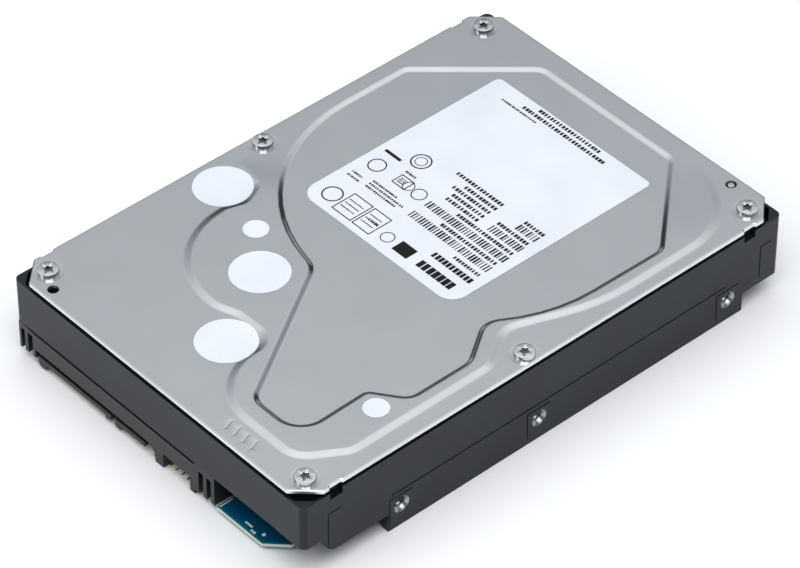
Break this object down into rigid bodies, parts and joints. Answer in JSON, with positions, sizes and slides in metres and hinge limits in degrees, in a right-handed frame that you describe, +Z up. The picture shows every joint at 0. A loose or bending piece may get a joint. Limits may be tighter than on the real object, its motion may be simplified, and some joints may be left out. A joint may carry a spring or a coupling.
{
  "type": "hard disk drive",
  "caption": "Desktop-size hard disk drive with a stamped metal cover, cast black base, underside circuit board and edge connector; disks spin and the head arm swings inside.",
  "frame": {"origin": "under the middle of the drive, on the plane that its mounting rails stand on", "axes": "+Y along the drive, away from the connector; +X across it, to the right seen from the connector end with the cover up; +Z up, out of the cover"},
  "size_m": [0.1016, 0.147, 0.0261],
  "materials": {
    "black_coat": "satin black electrophoretic coat on a die-cast aluminium base",
    "cover_metal": "satin grey passivated stamped sheet",
    "gasket_rubber": "black foam rubber",
    "label_film": "bluish white printed film",
    "board_laminate": "deep blue-green solder mask over glass laminate",
    "grey_foam": "dark grey closed-cell foam",
    "black_plastic": "black moulded glass-filled plastic",
    "chip_epoxy": "black moulded epoxy",
    "core_steel": "grey laminated or plated steel",
    "bearing_steel": "ground stainless steel",
    "machined_aluminium": "bright machined aluminium",
    "magnet_nickel": "nickel-plated magnet",
    "disk_coating": "mirror-smooth coated aluminium disk",
    "screw_nickel": "bright nickel-plated steel",
    "coil_copper": "bonded enamelled copper wire",
    "flex_film": "amber polyimide film",
    "white_plastic": "off-white moulded plastic"
  },
  "bodies": {
    "housing": {"base_casting": "black_coat", "top_cover": "cover_metal", "cover_gasket": "gasket_rubber", "product_label": "label_film", "circuit_board": "board_laminate", "board_insulator": "grey_foam", "sata_connector": "black_plastic", "controller_chip": "chip_epoxy", "motor_driver_chip": "chip_epoxy", "memory_chip": "chip_epoxy", "stator_core": "core_steel", "bearing_sleeve": "bearing_steel", "pivot_shaft": "bearing_steel", "pivot_bearing": "bearing_steel", "upper_yoke": "core_steel", "lower_yoke": "core_steel", "upper_magnet": "magnet_nickel", "lower_magnet": "magnet_nickel", "head_ramp": "white_plastic", "latch_pin": "bearing_steel", "flex_cable": "flex_film", "flex_bracket": "machined_aluminium", "air_filter": "white_plastic", "cover_screw_1": "screw_nickel", "cover_screw_2": "screw_nickel", "cover_screw_3": "screw_nickel", "cover_screw_4": "screw_nickel", "cover_screw_5": "screw_nickel", "cover_screw_6": "screw_nickel", "board_screw_1": "screw_nickel", "board_screw_2": "screw_nickel", "board_screw_3": "screw_nickel", "board_screw_4": "screw_nickel", "hole_seal_1": "label_film", "hole_seal_2": "label_film", "hole_seal_3": "label_film", "hole_seal_4": "label_film", "hole_seal_5": "label_film"},
    "disk_stack": {"spindle_hub": "machined_aluminium", "spindle_shaft": "bearing_steel", "rotor_magnet": "magnet_nickel", "platter_1": "disk_coating", "platter_2": "disk_coating", "platter_3": "disk_coating", "platter_spacer_1": "machined_aluminium", "platter_spacer_2": "machined_aluminium", "disk_clamp": "machined_aluminium", "clamp_screw_1": "screw_nickel", "clamp_screw_2": "screw_nickel", "clamp_screw_3": "screw_nickel", "clamp_screw_4": "screw_nickel"},
    "head_arm": {"actuator_arm": "machined_aluminium", "voice_coil": "coil_copper", "head_suspension_1": "bearing_steel", "head_suspension_2": "bearing_steel", "head_suspension_3": "bearing_steel", "head_suspension_4": "bearing_steel", "head_suspension_5": "bearing_steel", "head_suspension_6": "bearing_steel"},
    "latch": {"actuator_latch": "white_plastic"}
  },
  "joints": [
    {"name": "spindle_spin", "type": "hinge", "parent": "housing", "child": "disk_stack", "pos_m": [0, 0.0225, 0.0155], "axis": [0, 0, 1], "continuous": true},
    {"name": "arm_swing", "type": "hinge", "parent": "housing", "child": "head_arm", "pos_m": [-0.0125, -0.0319, 0.0148], "axis": [0, 0, 1], "range_deg": [0, 34]},
    {"name": "latch_swing", "type": "hinge", "parent": "housing", "child": "latch", "pos_m": [-0.0418, -0.0257, 0.0145], "axis": [0, 0, 1], "range_deg": [-12, 0]}
  ]
}
